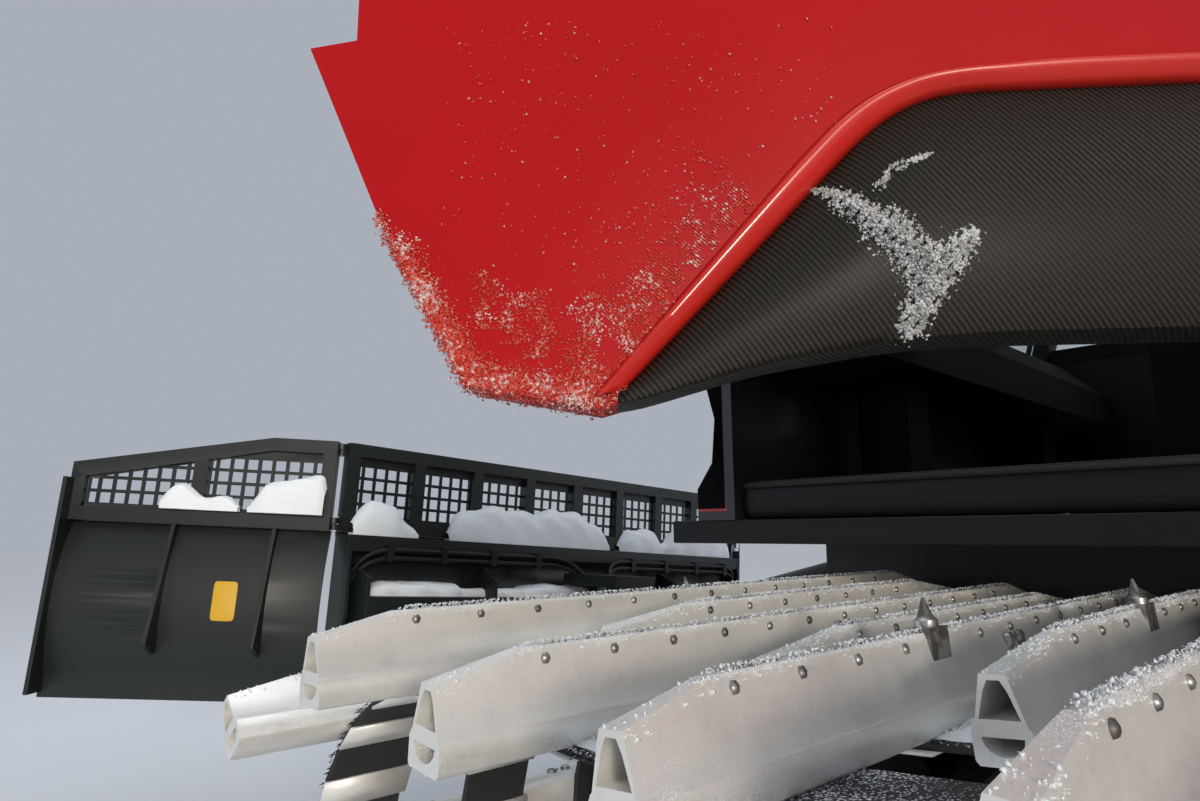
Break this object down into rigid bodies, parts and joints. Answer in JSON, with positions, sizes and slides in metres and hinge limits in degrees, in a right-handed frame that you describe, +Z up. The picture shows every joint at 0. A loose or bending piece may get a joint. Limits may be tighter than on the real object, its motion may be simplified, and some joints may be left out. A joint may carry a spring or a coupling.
{
  "type": "tracked snow groomer with front blade and rear tiller",
  "caption": "Tracked ski-slope groomer with a hollow cab, hinged side doors, aluminium cross-bar tracks, a lifting front blade with folding wings and a lifting rear tiller.",
  "frame": {"origin": "on the ground under the middle of the whole machine's box", "axes": "-Y is the front of the machine, +X its left side, +Z up"},
  "size_m": [4.48, 9.0728, 2.8673],
  "materials": {
    "bar_metal": "brushed extruded aluminium, frosted",
    "tyre_rubber": "matte",
    "rim_steel": "satin",
    "frame_steel": "satin",
    "engine_iron": "rough",
    "red_paint": "gloss",
    "black_panel": "satin",
    "carbon_panel": "woven carbon look, satin",
    "window_glass": "clear",
    "lamp_lens": "clear",
    "beacon_lens": "clear amber",
    "stainless": "brushed",
    "seat_cloth": "woven",
    "rod_chrome": "polished",
    "blade_black": "satin",
    "mat_rubber": "matte"
  },
  "bodies": {
    "root": {"track_left": "bar_metal", "track_right": "bar_metal", "tyres": "tyre_rubber", "wheel_rims": "rim_steel", "drive_sprockets": "frame_steel", "axles": "frame_steel", "idler_arms": "frame_steel", "chassis_frame": "frame_steel", "body_deck": "black_panel", "engine_block": "engine_iron", "engine_hood": "red_paint", "hood_grilles": "black_panel", "load_bed": "black_panel", "bed_rails": "frame_steel", "exhaust_stack": "stainless", "air_intake": "black_panel", "cab_nose": "red_paint", "cab_rear_wall": "red_paint", "cab_pillars": "black_panel", "cab_roof": "red_paint", "windscreen": "window_glass", "rear_window": "window_glass", "headlamps": "lamp_lens", "roof_lamps": "lamp_lens", "beacon": "beacon_lens", "mirrors": "black_panel", "wipers": "black_panel", "dashboard": "black_panel", "seat_bases": "black_panel", "seat_cushions": "seat_cloth", "steering_console": "black_panel"},
    "door_left": {"door_left_shell": "red_paint", "door_left_insert": "carbon_panel", "door_left_window": "black_panel", "door_left_glass": "window_glass"},
    "door_right": {"door_right_shell": "red_paint", "door_right_insert": "carbon_panel", "door_right_window": "black_panel", "door_right_glass": "window_glass"},
    "push_frame": {"push_frame": "frame_steel"},
    "turntable": {"blade_turntable": "frame_steel"},
    "blade": {"blade_centre": "blade_black", "blade_guard": "blade_black"},
    "wing_left": {"wing_left": "blade_black"},
    "wing_right": {"wing_right": "blade_black"},
    "lift_barrels": {"lift_barrels": "frame_steel"},
    "lift_rods": {"lift_rods": "rod_chrome"},
    "rear_lift": {"rear_lift_frame": "frame_steel", "tiller_cover": "red_paint", "finisher": "mat_rubber"},
    "tiller_shaft": {"tiller_shaft": "stainless"},
    "rear_barrels": {"rear_barrels": "frame_steel"},
    "rear_rods": {"rear_rods": "rod_chrome"}
  },
  "joints": [
    {"name": "door_left_hinge", "type": "hinge", "parent": "root", "child": "door_left", "pos_m": [1.194, -0.67, 1.5], "axis": [0, 0, 1], "range_deg": [-45, 20]},
    {"name": "door_right_hinge", "type": "hinge", "parent": "root", "child": "door_right", "pos_m": [-1.194, -0.67, 1.5], "axis": [0, 0, -1], "range_deg": [0, 65]},
    {"name": "blade_lift", "type": "hinge", "parent": "root", "child": "push_frame", "pos_m": [0, -2.15, 0.56], "axis": [-1, 0, 0], "range_deg": [-9, 10]},
    {"name": "blade_roll", "type": "hinge", "parent": "push_frame", "child": "turntable", "pos_m": [0, -3.36, 0.68], "axis": [0, 1, 0], "range_deg": [-2.4, 9.6]},
    {"name": "blade_swing", "type": "hinge", "parent": "turntable", "child": "blade", "pos_m": [0, -3.43, 0.68], "axis": [-0.0628, 0, 0.998], "range_deg": [-20, 20]},
    {"name": "wing_left_fold", "type": "hinge", "parent": "blade", "child": "wing_left", "pos_m": [1.15315, -3.84, 1.22348], "axis": [0.0628, 0, -0.998], "range_deg": [-37, 25]},
    {"name": "wing_right_fold", "type": "hinge", "parent": "blade", "child": "wing_right", "pos_m": [-1.21217, -3.84, 1.07467], "axis": [-0.0628, 0, 0.998], "range_deg": [-37, 25]},
    {"name": "lift_barrel_swing", "type": "hinge", "parent": "root", "child": "lift_barrels", "pos_m": [0, -2.15, 0.955], "axis": [-1, 0, 0], "range_deg": [-8.2, 9]},
    {"name": "lift_rod_slide", "type": "slide", "parent": "lift_barrels", "child": "lift_rods", "axis": [0, -0.9682, -0.2501], "range_m": [-0.068, 0.062]},
    {"name": "rear_lift", "type": "hinge", "parent": "root", "child": "rear_lift", "pos_m": [0, 2.29, 0.62], "axis": [1, 0, 0], "range_deg": [-4.5, 14]},
    {"name": "tiller_spin", "type": "hinge", "parent": "rear_lift", "child": "tiller_shaft", "pos_m": [0, 3.3, 0.45], "axis": [1, 0, 0], "continuous": true},
    {"name": "rear_barrel_swing", "type": "hinge", "parent": "root", "child": "rear_barrels", "pos_m": [0, 2.27, 0.955], "axis": [1, 0, 0], "range_deg": [-3.8, 11.2]},
    {"name": "rear_rod_slide", "type": "slide", "parent": "rear_barrels", "child": "rear_rods", "axis": [0, 0.9246, -0.3809], "range_m": [-0.075, 0.025]}
  ],
  "couplings": [
    {"joint": "lift_barrel_swing", "follows": "blade_lift", "ratio": 0.8733},
    {"joint": "lift_rod_slide", "follows": "blade_lift", "m_per_rad": -0.3824},
    {"joint": "rear_barrel_swing", "follows": "rear_lift", "ratio": 0.7729},
    {"joint": "rear_rod_slide", "follows": "rear_lift", "m_per_rad": -0.3021}
  ]
}
